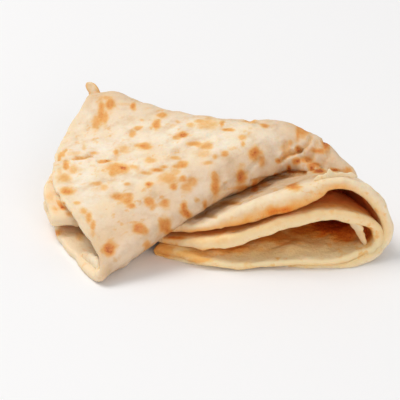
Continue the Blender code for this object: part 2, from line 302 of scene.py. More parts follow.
# Pan spots: a brown core and a paler halo, each as its strength and the radii where it fades.
CORE = (0.7, 0.45, 1.25)
HALO = (0.32, 0.8, 1.8)
SPOT_RAGGED = (0.55, 6)
LEAST_RAGGED = 0.4
SPOT_NEAR = 14  # how near its middle, along the line of sight, a spot colours the bread
OTHER_SPOTS = (19, 0.62)  # where the photograph doesn't reach: cell and chance
SMALL_SPOTS = (9, 0.3)
SMALL_SHIFT = 37
SMALL_STRENGTH = 0.7
OTHER_EDGE = (0.05, 0.8)
OTHER_STRENGTH = 0.75
EDGE_ON = (-0.05, 0.12)  # how far a face turns to the camera where it stops showing

# Creases: the raised shoulders beside each, and how deep and high all of them may go together.
CREASE_NEAR = 45
SHOULDER = (0.45, 2.2)
CREASE_LIMITS = (-2.5, 1.2)

# Pan spots that the photograph shows, and painted shade where marked, in its pixels: middle x and y, width,
# height, strength.
SPOTS = {
    "back corner": (
        (101, 113, 6, 26, 0.6), (97, 122, 8, 11, 0.5), (110, 105, 8, 11, 0.65), (105, 118, 6, 16, 0.5),
        (107, 98, 8, 4, 0.3), (133, 106, 5, 6, 0.7), (125, 104, 18, 3, 0.12), (133, 98, 9, 2.5, 0.6),
        (163, 115, 10, 5, 0.55), (156, 125, 8, 8, 0.7), (151, 128, 4, 4, 0.4), (138, 128, 6, 4, 0.5),
        (132, 135, 6, 7, 0.45), (142, 120, 4, 3, 0.25), (178, 122, 4, 3, 0.3),
    ),
    "top": (
        (183, 135, 9, 6, 0.8), (178, 138, 8, 5, 0.4), (144, 146, 12, 6, 0.6), (142, 146, 5, 2.5, 0.9),
        (124, 150, 9, 9, 0.28), (116, 152, 5, 5, 0.55), (93, 153, 6, 2.5, 0.45), (84, 147, 3, 7, 0.25),
        (75, 153, 14, 4, 0.2), (190, 125, 8, 5, 0.35), (208, 124, 18, 12, 0.34), (200, 121, 11, 4, 0.4),
        (222, 124, 4, 5, 0.7), (229, 130, 9, 3, 0.65), (250, 121, 11, 3, 0.5), (265, 126, 8, 4, 0.7),
        (195, 144, 12, 4.5, 0.6), (207, 146, 11, 6, 0.45), (204, 154, 13, 8, 0.25), (175, 158, 10, 4, 0.45),
        (150, 160, 9, 5, 0.35), (215, 157, 5, 5, 0.45), (225, 154, 6, 6, 0.5), (208, 163, 9, 4, 0.35),
    ),
    "left": (
        (81, 158, 9, 2.5, 0.5), (104, 161, 13, 3, 0.5), (107, 161, 5, 1.6, 1.0), (66, 166, 5, 8, 0.65),
        (73, 170, 9, 8, 0.35), (65, 178, 11, 8, 0.42), (67, 191.5, 13, 7, 0.72), (97, 184, 9, 4, 0.4),
        (104, 187, 8, 6, 0.32), (60, 172, 5, 8, 0.2),
    ),
    "middle": (
        (120, 168, 24, 10, 0.55), (123, 168, 9, 5, 0.9), (112, 171, 6, 8, 0.55), (133, 167, 11, 5, 0.4),
        (157, 170, 11, 4, 0.75), (164, 167, 7, 3, 0.5), (147, 173, 11, 3, 0.35), (182, 165, 13, 6, 0.65),
        (168, 178, 15, 11, 0.38), (183, 178, 5, 6, 0.6), (174, 187, 7, 6, 0.7), (186, 187, 11, 8, 0.42),
        (193, 182, 9, 9, 0.42), (127, 184, 7, 3.5, 0.45), (149, 184, 7, 4, 0.8), (118, 197, 10, 6, 0.6),
        (127, 195, 10, 4, 0.5), (128, 201, 8, 7, 0.6), (132, 206, 8, 6, 0.65), (149, 202, 11, 9, 0.65),
        (152, 208, 4, 6, 0.45), (165, 202, 7, 9, 0.62), (197, 200, 5, 4, 0.4), (176, 172, 9, 6, 0.3),
    ),
    "front fold": (
        (184, 207, 6, 12, 0.75), (187, 214, 8, 8, 0.85), (182, 211, 5, 6, 0.6), (215, 186, 8, 18, 0.7),
        (214, 175, 6, 9, 0.5), (205, 205, 4, 12, 0.5), (165, 225, 12, 12, 0.65), (168, 231, 10, 8, 0.8),
        (160, 221, 4, 8, 0.5), (139, 229, 11, 9, 0.72), (109, 250, 11, 12, 0.85), (109, 251, 5, 6, 0.9),
        (147, 245, 7, 6, 0.5), (242, 137, 9, 6, 0.4), (243, 144, 4, 6, 0.5), (254, 152, 10, 13, 0.75),
        (254, 154, 5, 7, 0.9), (241, 175, 9, 15, 0.8), (240, 179, 6, 9, 0.9), (262, 161, 5, 9, 0.45),
        (84, 211, 8, 7, 0.45), (89, 217, 5, 10, 0.6), (93, 226, 4, 12, 0.55), (77, 203, 7, 4, 0.42),
    ),
    "open side": (
        (61, 204, 7, 3, 0.8), (63, 208, 7, 3, 0.9), (56, 210, 9, 2, 0.6), (69, 213, 8, 3, 0.45),
        (57, 233, 7, 6, 0.75),
        # The first of these is painted shade inside the tube.
        (80, 236, 7, 9, 0.25), (50, 197, 9, 12, 0.16),
    ),
    "tip": (
        (303, 130, 16, 14, 0.55), (298, 131, 4, 14, 0.65), (307, 124, 11, 4, 0.6), (288, 121, 6, 2, 0.4),
        (290, 143, 5, 7, 0.35), (298, 150, 6, 7, 0.95), (320, 151, 16, 6, 0.7), (326, 146, 7, 11, 0.8),
        (324, 143, 4, 5, 0.9), (297, 161, 10, 7, 0.9), (306, 160, 15, 7, 0.7), (314, 165, 14, 5, 0.8),
        (319, 171, 12, 5, 1.0), (312, 169, 6, 3, 1.0), (335, 170, 11, 3.5, 0.95), (348, 171, 7, 8, 0.5),
        (289, 168, 4, 6, 1.0), (295, 172, 18, 2, 1.0), (284, 158, 5, 4, 0.5), (278, 161, 6, 4, 0.8),
        # Painted shade in the dip near the tip.
        (286, 151, 10, 18, 0.28),
    ),
    "below the fold": (
        (275, 175, 8, 3, 0.95), (282, 176, 8, 2, 0.6), (255, 186, 7, 13, 0.8), (244, 188, 14, 6, 0.55),
        (262, 183, 9, 7, 0.5), (240, 193, 10, 5, 0.35), (292, 186, 12, 7, 0.75), (228, 203, 26, 3, 0.5),
        (176, 238, 16, 3, 0.6),
    ),
    # Painted shade in the lower lobe's hollow, in the crevice above it and on the thick band's lower edge.
    "hollow": (
        (330, 226, 46, 20, 1.0), (304, 230, 34, 10, 0.7), (270, 236, 56, 11, 0.45),
        (345, 234, 26, 18, 0.8), (367, 235, 10, 16, 1.0), (162, 251, 28, 14, 0.5),
        (190, 254, 46, 9, 0.35), (280, 210, 22, 6, 0.75), (200, 260, 24, 5, 0.4),
        (232, 249, 44, 9, 0.45),
    ),
}

# Creases that the photograph shows: depth in mm, half width in pixels, strength of the painted shade along
# it, then the line.
CREASES = {
    "across the left": (
        (1.5, 2.2, 0, (56, 159), (66, 158), (76, 158), (85, 157), (91, 155)),
        (1.3, 2.2, 0, (91, 155), (100, 157), (120, 158), (150, 157), (165, 154)),
    ),
    "up the middle": (
        (1.4, 2.2, 0, (165, 154), (180, 150), (193, 142), (204, 140), (213, 141)),
        (1.3, 2.2, 0, (210, 136), (220, 131), (232, 125), (250, 120)),
    ),
    "nicks": (
        (1.8, 1.4, 0.5, (99, 162), (104, 162), (109, 160)),
        (1.2, 1.2, 0.4, (72, 158), (80, 158), (85, 157), (91, 155)),
        (0.8, 1.5, 0.5, (58, 159), (61, 154)), (0.8, 1.5, 0.5, (63, 155), (66, 150)),
    ),
    "tip": (
        (1.9, 2.0, 0.5, (281, 160), (285, 157), (290, 154), (295, 153), (300, 151)),
        (1.7, 2.0, 0.25, (300, 151), (305, 147), (309, 143), (311, 138)),
        (1.2, 2.2, 0.15, (309, 160), (313, 155), (315, 149), (317, 142)),
        (1.1, 2.2, 0, (321, 149), (323, 145), (325, 140)),
        (1.1, 2.4, 0.1, (322, 166), (324, 161), (330, 154)),
        (1.0, 2.0, 0, (285, 143), (286, 150), (284, 157)),
    ),
    "front fold": (
        (0.9, 1.8, 0, (226, 187), (236, 179), (248, 171), (260, 159)),
        (1.0, 1.8, 0, (205, 206), (216, 196), (226, 186)),
        (0.9, 1.6, 0, (255, 126), (266, 124), (272, 127)),
        (0.8, 1.8, 0, (112, 177), (120, 173), (134, 167)),
        (0.8, 1.8, 0, (144, 174), (158, 172), (168, 168)),
    ),
    "open side": (
        (1.4, 1.6, 0, (60, 202), (68, 208), (78, 219), (92, 237), (104, 256)),
        (2.2, 2.0, 0.5, (44, 209), (50, 210), (58, 209), (66, 207)),
        (1.5, 1.6, 0.7, (57, 204), (62, 203), (66, 206)),
    ),
    "below the fold": (
        (0.7, 1.8, 0.2, (213, 206), (228, 203), (240, 203)),
        (1.2, 1.8, 0.2, (252, 181), (262, 179), (280, 177), (305, 173)),
        (0.6, 1.8, 0.2, (196, 217), (205, 215), (216, 217)),
    ),
}


def randoms(cells, seed):
    """A number from 0 to 1 for each cell of a grid, always the same one for the same cell."""
    cells = cells.astype(np.uint64)
    mixed = np.full(cells.shape[:-1], (seed * SEED_MIX) % 2**64, np.uint64)
    with np.errstate(over="ignore"):
        for axis in range(cells.shape[-1]):
            mixed ^= cells[..., axis] * np.uint64(CELL_MIX) + np.uint64(axis * AXIS_MIX + 1)
            mixed ^= mixed >> np.uint64(29)
            mixed *= np.uint64(LAST_MIX)
            mixed ^= mixed >> np.uint64(32)
    return (mixed >> np.uint64(11)).astype(float) / 2**53


def noise(places, size, seed):
    """Smooth noise from -1 to 1 with waves of about this size."""
    scaled = np.asarray(places, float) / size
    cell = np.floor(scaled).astype(np.int64)
    part = scaled - cell
    part = part * part * part * (part * (part * 6 - 15) + 10)
    total = 0
    count = scaled.shape[-1]
    for corner in np.ndindex(*(2,) * count):
        weight = np.prod(np.where(corner, part, 1 - part), axis=-1)
        total = total + weight * randoms(cell + np.array(corner) + GRID_SHIFT, seed)
    return 2 * total - 1


def fractal(places, size, seed, octaves=3):
    """Noise with finer and weaker waves added."""
    return sum(noise(places, size / 2**k, seed + k) / 2**k for k in range(octaves)) / WAVES_SUM


def scattered(flat, cell, chance, seed):
    """Domes scattered over the flat bread: 1 in the middle of each and 0 past its edge."""
    base = np.floor(flat / cell)
    result = np.zeros(flat.shape[:-1])
    for step in np.ndindex(3, 3):
        here = base + np.array(step) - 1
        number = [randoms(here + GRID_SHIFT, seed + k) for k in range(5)]
        middle = (here + DOME_PLACE[0] + DOME_PLACE[1] * np.stack(number[:2], axis=-1)) * cell
        away = flat - middle
        turn = np.pi * number[2]
        along = away[..., 0] * np.cos(turn) + away[..., 1] * np.sin(turn)
        aside = away[..., 1] * np.cos(turn) - away[..., 0] * np.sin(turn)
        radius = cell * (DOME_RADIUS[0] + DOME_RADIUS[1] * number[3])
        distance = (along / (DOME_STRETCH * radius)) ** 2 + (aside / radius) ** 2
        dome = np.clip(1 - distance, 0, 1) ** 2 * (number[4] < chance)
        result = np.maximum(result, dome)
    return result


def unit(vectors):
    """The same directions with length 1."""
    return vectors / np.maximum(np.linalg.norm(vectors, axis=-1, keepdims=True), TINY)


def difference(values, axis):
    """The step from the point before each to the point after it, round a closed grid."""
    return np.roll(values, -1, axis) - np.roll(values, 1, axis)


def curve_at(points, where, closed=False):
    """Places on a Catmull-Rom curve, where a whole number is one of its points."""
    p = np.asarray(points, float)
    index = np.floor(where).astype(int)
    if not closed:
        index = np.minimum(index, len(p) - 2)
    t = (where - index).reshape((-1,) + (1,) * (p.ndim - 1))

    def pick(step):
        if closed:
            return p[(index + step) % len(p)]
        inside = p[np.clip(index + step, 0, len(p) - 1)]
        before = np.where((index + step < 0).reshape(t.shape), 2 * p[0] - p[1], inside)
        return np.where((index + step >= len(p)).reshape(t.shape), 2 * p[-1] - p[-2], before)

    a, b, c, d = (pick(step) for step in (-1, 0, 1, 2))
    cubic = (3 * (b - c) + d - a) * t**3
    return b + ((c - a) * t + (2 * a - 5 * b + 4 * c - d) * t**2 + cubic) / 2


def between(values, stations, where):
    """The values at one place between the stations."""
    return np.array([np.interp(where, stations, column) for column in np.transpose(values)])


def lower_loop(share):
    """The lower lobe's loop of sheet at a share of the way from its rim to its tip."""
    rim = np.array(sum(LOWER_RIM.values(), ()), float)
    height = np.interp(share, LOWER_STATIONS, LOWER_HEIGHT)
    keep = np.interp(share, LOWER_STATIONS, LOWER_SHEET)
    tip_x = LOWER_TIP[0] + LOWER_TIP_WIDTH * (rim[:, 0] - LOWER_TIP[0])
    belly = LOWER_BELLY * np.sin(np.pi * share) * (rim[:, 0] - LOWER_TIP[0]) / LOWER_HALF
    x = rim[:, 0] + share * (tip_x - rim[:, 0]) + belly
    y = rim[:, 1] + share * (LOWER_TIP[1] - rim[:, 1])
    z = LOWER_BELOW + (rim[:, 2] - LOWER_BELOW) * height
    thick = SHEET + keep * (rim[:, 3] - SHEET)
    thick = np.where(z < SHEET, np.minimum(thick, 2 * z), thick)
    return np.stack([x, y, z, thick], axis=1)


def lower_top(x, y):
    """Height of the upper face of the lower lobe at a place in plan, or of the table beside it."""
    crest = np.array(sum((LOWER_RIM[part] for part in LOWER_CREST), ())[::-1], float)
    front = crest[:, 1].mean()
    share = np.clip((y - front) / (LOWER_TIP[1] - front), 0, 1)
    rim_x = LOWER_TIP[0] + (x - LOWER_TIP[0]) / (1 - share * (1 - LOWER_TIP_WIDTH))
    height = np.interp(share, LOWER_STATIONS, LOWER_HEIGHT)
    crest_z = np.interp(rim_x, crest[:, 0], crest[:, 2], left=0, right=0)
    return np.where(crest_z > 0, LOWER_BELOW + (crest_z - LOWER_BELOW) * height + SHEET / 2, 0)


def upper_loop(share):
    """The upper lobe's loop of sheet at a share of the way from its rim to its tip."""
    front = between(UPPER_FRONT, UPPER_STATIONS, share)
    back = between(UPPER_BACK, UPPER_STATIONS, share)
    tops = between(UPPER_TOP, UPPER_STATIONS, share)
    along = back - front
    inward = np.array([along[1], -along[0]]) / np.linalg.norm(along)
    spread = (1 - share) ** BULGE_FADE

    def point(across, layer, inner=False, thick=SHEET):
        """A point of the loop: layer 0 is the lowest one and 1 the top one."""
        reach = np.interp(across, INNER_ACROSS, INNER_REACH) if inner else 0
        reach = reach + (np.interp(across, UPPER_ACROSS, TOP_REACH) if layer == 1 else 0)
        bulge = 4 * across * (1 - across) * UPPER_RIM_BULGE + reach
        x, y = front + along * across - inward * bulge * spread
        top = np.interp(across, UPPER_ACROSS, tops)
        low = min(max(SHEET / 2, lower_top(x, y) + SHEET / 2), top - LEAST_GAP)
        return (x, y, low + layer * (top - low), thick)

    fold = np.interp(share, (0, INNER_FOLD_TO), INNER_FOLD)
    begins, turns = (fold + step for step in INNER_TURN)
    rolled = (*UPPER_ACROSS[:1:-1], begins)
    below = np.interp(share, (0, FOLD_ROUNDED_TO), FOLD_BELOW)
    above = np.interp(share, (0, FOLD_ROUNDED_TO), FOLD_ABOVE)
    loop = [point(a, 0) for a in (*UPPER_ACROSS[:0:-1], below)]
    loop += [point(FOLD_ACROSS, FRONT_FOLD_LAYER, thick=UPPER_FOLD_SHEET)]
    loop += [point(a, 1, thick=UPPER_TOP_SHEET) for a in (above, *UPPER_ACROSS[1:])]
    loop += [point(LIP_ACROSS, UPPER_LIP_LAYER)]
    loop += [point(a, INNER_TOP_LAYER, inner=True) for a in rolled]
    loop += [point(turns, INNER_FOLD_LAYER, inner=True)]
    loop += [point(a, INNER_BOTTOM_LAYER, inner=True) for a in rolled[::-1]]
    loop += [point(LIP_ACROSS, LOWER_LIP_LAYER)]
    return np.array(loop)


def camera_axes():
    """The camera's place and its right, up and forward directions, in millimetres."""
    tilt = np.radians(ELEVATION)
    right = np.array([1.0, 0, 0])
    up = np.array([0, np.sin(tilt), np.cos(tilt)])
    forward = np.array([0, np.cos(tilt), -np.sin(tilt)])
    target = up * (ORIGIN_PIXEL[1] - FRAME_PIXELS / 2) * MM_PER_PIXEL
    return target - forward * DISTANCE, right, up, forward


def to_pixels(points):
    """Where points show in the photograph's frame, with their distance from the camera."""
    eye, right, up, forward = camera_axes()
    away = points - eye
    depth = away @ forward
    scale = DISTANCE / MM_PER_PIXEL / depth
    half = FRAME_PIXELS / 2
    return np.stack([half + away @ right * scale, half - away @ up * scale, depth], axis=-1)


def from_pixel(x, y):
    """The direction from the camera through a pixel."""
    _, right, up, forward = camera_axes()
    half = FRAME_PIXELS / 2
    return forward * DISTANCE + (right * (x - half) + up * (half - y)) * MM_PER_PIXEL


def smooth_step(low, high, value):
    """0 below the first value, 1 above the second, and a smooth rise between."""
    t = np.clip((value - low) / (high - low), 0, 1)
    return t * t * (3 - 2 * t)


def line_distance(places, line):
    """How far places in the frame are from a line of pixels."""
    nearest = np.full(places.shape[:-1], np.inf)
    for a, b in zip(np.array(line[:-1], float), np.array(line[1:], float)):
        side = b - a
        t = np.clip((places - a) @ side / (side @ side), 0, 1)
        nearest = np.minimum(nearest, np.linalg.norm(places - a - t[..., None] * side, axis=-1))
    return nearest


class Sight:
    """What the camera sees of the bread, to carry places in the photograph onto it."""

    def __init__(self, sheets):
        points, quads = [], []
        for sheet in sheets:
            quads.append(sheet.quads() + sum(len(part) for part in points))
            points.append(sheet.points.reshape(-1, 3))
        self.tree = BVHTree.FromPolygons(np.concatenate(points).tolist(), np.concatenate(quads).tolist())

    def depth(self, x, y):
        """How far from the camera the bread is at a pixel, or nothing."""
        eye = camera_axes()[0]
        hit = self.tree.ray_cast(Vector(eye), Vector(from_pixel(x, y)))[0]
        return None if hit is None else to_pixels(np.array(hit))[2]


class Sheet:
    """A thick sheet in a closed loop: its middle, its two faces and what is painted on them."""

    def __init__(self, name, loop, stations, length, seen, walls, reach, seed):
        """Seen and walls are stretches of the loop, counted in its points.

        The first gets the finest mesh and the second lines the hollow.
        """
        self.name = name
        self.length = length
        rim = loop(0.0)[:, :3]
        sides = np.linalg.norm(np.roll(rim, -1, axis=0) - rim, axis=1)
        spaces = [SPACING * (1 if seen[0] <= i < seen[1] else COARSER) for i in range(len(sides))]
        steps = [max(2, round(side / space)) for side, space in zip(sides, spaces)]
        around = np.concatenate([i + np.arange(n) / n for i, n in enumerate(steps)])
        rows = round(length / SPACING)
        toward = np.interp(np.linspace(0, 1, rows), stations, range(len(stations)))
        rings = np.stack([curve_at(loop(s), around, closed=True) for s in stations])
        grid = curve_at(rings, toward)
        self.middle, self.thick = grid[..., :3], grid[..., 3]
        self.share = np.interp(toward, range(len(stations)), stations)[:, None]
        walked = np.concatenate([[0], np.cumsum(sides)])
        turn = np.interp(around, range(len(walked)), walked) / length
        radius = (1 - self.share) * length
        self.flat = np.stack([radius * np.cos(turn), radius * np.sin(turn)], axis=-1)
        self.from_rim = np.tile(length - radius, (1, len(turn)))
        self.around = around
        self.lines = self.stretch(*walls)
        self.seed = seed
        self.close_tip(reach)
        self.shape_middle()

    def close_tip(self, reach):
        """Rows beyond the tip that draw the loop together into a rounded point."""
        last = self.middle[-1]
        centre = last.mean(axis=0)
        onward = (centre - self.middle[-4].mean(axis=0)) * (1, 1, 0)
        onward /= np.linalg.norm(onward)
        angles = np.linspace(0, np.pi / 2, TIP_ROWS + 1)[1:, None]
        shrink = np.maximum(np.cos(angles), LAST_RING)
        rows = centre + (last - centre) * shrink[..., None] + onward * np.sin(angles)[..., None] * reach
        self.middle = np.concatenate([self.middle, rows])
        self.thick = np.concatenate([self.thick, self.thick[-1] * shrink])
        self.flat = np.concatenate([self.flat, np.repeat(self.flat[-1:], TIP_ROWS, axis=0)])
        self.from_rim = np.concatenate([self.from_rim, np.repeat(self.from_rim[-1:], TIP_ROWS, axis=0)])

    def normals(self):
        """Unit directions out of the loop, square to the sheet."""
        return unit(np.cross(np.gradient(self.middle, axis=0), difference(self.middle, 1)))

    def shape_middle(self):
        """Soft waves of the whole sheet, the back corner's fold, and a rim that runs in and out."""
        height, size = WAVES
        wave = height * fractal(self.flat, size, self.seed)
        self.middle = self.middle + self.normals() * wave[..., None]
        x, y, radius, height = UPPER_BUMP
        away = np.hypot(self.middle[..., 0] - x, self.middle[..., 1] - y)
        self.middle[..., 2] += height * np.exp(-((away / radius) ** 2))
        run, size = RIM_RUNS
        rim_noise = fractal(self.flat[:1], size, self.seed + RIM_SEED, 4)
        pull = np.exp(-self.from_rim / RIM_RUNS_DEPTH) * run * rim_noise
        self.middle = self.middle + unit(np.gradient(self.middle, axis=0)) * pull[..., None]
        part, size = THICKNESS_VARIES
        self.thick = self.thick * (1 + part * fractal(self.flat, size, self.seed + THICKNESS_SEED))

    def build(self):
        """The faces' points, as rows from the tip over the outer face, the rim and the inner face."""
        normal = self.normals()
        way = self.from_rim / self.length
        hidden = self.lines * smooth_step(*THINNED, way)
        half = self.thick[..., None] / 2 * (1 - THINNED_BY * hidden)[..., None]
        relief_out = self.relief(OUTER_SEED)
        if self.name == "lower_lobe":
            waves = fractal(self.flat * CRUMPLE_STRETCH, CRUMPLE_SIZE, self.seed + CRUMPLE_SEED)
            within = self.lines * smooth_step(*CRUMPLE_FROM, self.from_rim)
            relief_out = relief_out + CRUMPLE * waves * within
        relief_out = relief_out * (1 - hidden)
        relief_in = INNER_RELIEF * self.relief(INNER_SEED)
        outer = self.middle + normal * np.minimum(half + relief_out[..., None], self.room(-normal))
        loose = 1 - smooth_step(*PRESSED, way)[..., None]
        below = (half + relief_in[..., None]) * (PRESSED_TO + (1 - PRESSED_TO) * loose)
        inner = self.middle - normal * np.minimum(below, self.room(normal))
        steps = range(-RIM_SMOOTHED, RIM_SMOOTHED + 1)
        inward = unit(sum(np.roll(self.middle[1] - self.middle[0], step, axis=0) for step in steps))
        angles = np.linspace(0, np.pi, CAP_ROWS + 2)[1:-1]
        crumb = 1 + CRUMB * fractal(self.flat[0], CRUMB_SIZE, self.seed + CRUMB_SEED)[:, None]
        cap = []
        for angle in angles:
            lean = (1 + np.cos(angle)) / 2
            place = outer[0] * lean + inner[0] * (1 - lean)
            cap.append(place - inward * np.sin(angle) * self.thick[0][:, None] * CAP_REACH * crumb)
        deep = np.arange(len(inner))
        near_tip = deep > len(deep) - TIP_ROWS
        deep = deep[(self.from_rim[:, 0] < LINING_SEEN) | (deep % ROWS_KEPT == 0) | near_tip]
        self.points = np.concatenate([outer[::-1], np.array(cap), inner[deep]])
        self.inner_rows = len(outer) - 1 - deep
        blank = np.zeros(len(self.around))
        turned = np.cos(angles)[:, None] + blank
        lined = np.where(self.from_rim[:, 0] < PRESSED[1] * self.length, -1.0, 1.0)
        self.side = np.concatenate([np.ones_like(self.from_rim), turned, lined[deep][:, None] + blank])
        edge = np.zeros(turned.shape)
        self.depth = np.concatenate([self.from_rim[::-1], edge, self.from_rim[deep]])
        rim = np.repeat(self.flat[:1], CAP_ROWS, axis=0)
        self.flats = np.concatenate([self.flat[::-1], rim, self.flat[deep] + FLAT_SHIFT])
        top = np.unravel_index(self.points[..., 2].argmax(), self.side.shape)
        self.outward = 1.0 if self.point_normals()[top][2] > 0 else -1.0

    def room(self, normal):
        """How far a face can lie against this direction before a bend folds it through itself."""
        across = difference(self.middle, 1)
        length = np.maximum(np.linalg.norm(across, axis=-1, keepdims=True), TINY)
        turned = difference(across / length, 1)
        bend = -np.sum(turned * normal, axis=-1, keepdims=True) / length
        steps = range(-BEND_SMOOTHED, BEND_SMOOTHED + 1)
        bend = sum(np.roll(bend, step, axis=1) for step in steps) / len(steps)
        return TIGHTEST / np.maximum(bend, LEAST_BEND)

    def rest_on_lower(self):
        """Keeps the tip of the upper lobe from showing through the lower one's sheet."""
        lowest = lower_top(self.points[..., 0], self.points[..., 1]) - SUNK
        lowest = np.where(self.depth > TIP_PART * self.length, lowest, 0)
        self.points[..., 2] = np.maximum(self.points[..., 2], lowest)

    def relief(self, seed):
        """Blisters and fine wrinkles of one face."""
        height, size = BLISTERS
        domes = height * scattered(self.flat, size, BLISTER_CHANCE, self.seed + seed)
        height, size = DIMPLES
        return domes + height * fractal(self.flat, size, self.seed + seed + DIMPLE_SEED, 4)

    def quads(self):
        """The mesh's faces: a grid that closes on itself both ways."""
        rows, columns = self.points.shape[:2]
        index = np.arange(rows * columns).reshape(rows, columns)
        right = np.roll(index, -1, axis=1)
        down = np.roll(index, -1, axis=0)
        corner = np.roll(right, -1, axis=0)
        return np.stack([index, right, corner, down], axis=-1).reshape(-1, 4)

    def point_normals(self):
        """Unit normals of the finished surface."""
        return unit(np.cross(difference(self.points, 1), difference(self.points, 0)))

    def crease(self, sight):
        """Presses in the creases where the photograph shows them, and paints shade along them."""
        outer = len(self.middle)
        seen = to_pixels(self.points[:outer])
        normal = self.point_normals()[:outer]
        total = np.zeros(seen.shape[:2])
        self.crease_shade = np.zeros(self.side.shape)
        high, apart = SHOULDER
        for depth, width, shade_strength, *line in sum(CREASES.values(), ()):
            away = sight.depth(*line[len(line) // 2])
            if away is None:
                continue
            distance = line_distance(seen[..., :2], line)
            near = np.exp(-((seen[..., 2] - away) / CREASE_NEAR) ** 4)
            valley = np.exp(-((distance / width) ** 2))
            shoulder = high * np.exp(-(((distance - apart * width) / width) ** 2))
            total = total - depth * (valley - shoulder) * near
            # Painted shade along the crease.
            crease_shade = shade_strength * np.exp(-((distance / width) ** 4)) * near
            self.crease_shade[:outer] = np.maximum(self.crease_shade[:outer], crease_shade)
        push = normal * np.clip(total, *CREASE_LIMITS)[..., None]
        inner = push[self.inner_rows]
        cap = np.repeat(push[-1:], CAP_ROWS, axis=0)
        self.points = self.points + np.concatenate([push, cap, inner])

    def paint(self, sight):
        """Pan spots, those that the photograph shows and others where it doesn't reach, and painted shade
        in the hollow, the tube, a dip and the creases.
        """
        seen = to_pixels(self.points)
        part, size = SPOT_RAGGED
        ragged = 1 + part * fractal(self.points, size, self.seed + RAGGED_SEED, 4)
        toast_and_shade = np.zeros(self.side.shape)
        for x, y, width, height, strength in sum(SPOTS.values(), ()):
            away = sight.depth(x, y)
            if away is None:
                continue
            distance = np.hypot((seen[..., 0] - x) * 2 / width, (seen[..., 1] - y) * 2 / height)
            near = np.abs(seen[..., 2] - away) < SPOT_NEAR
            core = CORE[0] * (1 - smooth_step(*CORE[1:], distance * ragged))
            halo = HALO[0] * (1 - smooth_step(*HALO[1:], distance * ragged))
            toast_and_shade = np.maximum(toast_and_shade, strength * (core + halo) * near)
        # The creases' painted shade goes in with the pan spots.
        toast_and_shade = np.maximum(toast_and_shade, self.crease_shade)
        others = scattered(self.flats, *OTHER_SPOTS, self.seed + SPOT_SEED)
        small = scattered(self.flats + SMALL_SHIFT, *SMALL_SPOTS, self.seed + SMALL_SPOT_SEED)
        others = np.maximum(others, SMALL_STRENGTH * small)
        others = smooth_step(*OTHER_EDGE, others / np.maximum(ragged, LEAST_RAGGED))
        self.toast_and_shade = np.maximum(toast_and_shade, others * self.unseen() * OTHER_STRENGTH)

    def stretch(self, start, end):
        """1 along a stretch of the loop and 0 away from it."""
        outside, inside = STRETCH_FADE
        rise = smooth_step(start - outside, start + inside, self.around)
        return rise * (1 - smooth_step(end - inside, end + outside, self.around))

    def outer_stretch(self, ends):
        """A stretch of the loop on its outer face alone."""
        return self.stretch(*ends) * np.clip(0.5 + self.side / 2, 0, 1)

    def unseen(self):
        """1 where the photograph doesn't show the bread, and 0 where it does."""
        eye = camera_axes()[0]
        facing = np.sum(self.point_normals() * unit(eye - self.points), axis=-1)
        return (1 - smooth_step(*EDGE_ON, facing * self.outward)) * (self.depth > RIM_BAND)

    def to_object(self):
        """The Blender object with its painted values."""
        points = (self.points.reshape(-1, 3) - CENTRE) * TO_METRES
        obj = mesh_object(self.name, points, self.quads())
        lower = self.name == "lower_lobe"
        # The hollow's painted shade, faded out towards the tip.
        inside = lower * (1 - smooth_step(*FADED, self.depth / self.length))
        # Painted shade on the front roll, and a darker tone towards the tip and on the back edge.
        roll_shade_and_tan = np.maximum(self.outer_stretch(UPPER_ROLL), smooth_step(*TIP_TAN, self.depth))
        roll_shade_and_tan = np.maximum(roll_shade_and_tan, UPPER_BACK_TAN * self.outer_stretch(UPPER_BACK_EDGE))
        # Painted shade on the underside of the lower lobe's thick band, near its rim.
        band = smooth_step(*AMBER_FROM, self.around) * (1 - smooth_step(*AMBER_TO, self.around))
        underside = np.clip(AMBER_FACE - self.side, 0, 1)
        near_rim = np.exp(-((self.depth / AMBER_DEPTH) ** 2))
        # Painted shade where the upper lobe covers the lower one.
        covered_shade = self.outer_stretch(LOWER_COVERED) * smooth_step(*SHADE_UNDER_LOBE_FROM, self.depth)
        painted = {
            "toast_and_shade": self.toast_and_shade,
            "depth": self.depth,
            "inner": np.clip(0.5 - self.side / 2, 0, 1),
            "within": inside * self.outer_stretch(LOWER_WALLS),
            "floor": inside * self.outer_stretch(LOWER_FLOOR),
            "shade_under_lobe": lower * covered_shade,
            "lower": lower * np.ones(self.side.shape),
            "band_underside_shade": lower * band * underside * near_rim,
            "roll_shade_and_tan": (not lower) * roll_shade_and_tan,
        }
        for name, values in painted.items():
            set_value(obj, name, values)
        return obj


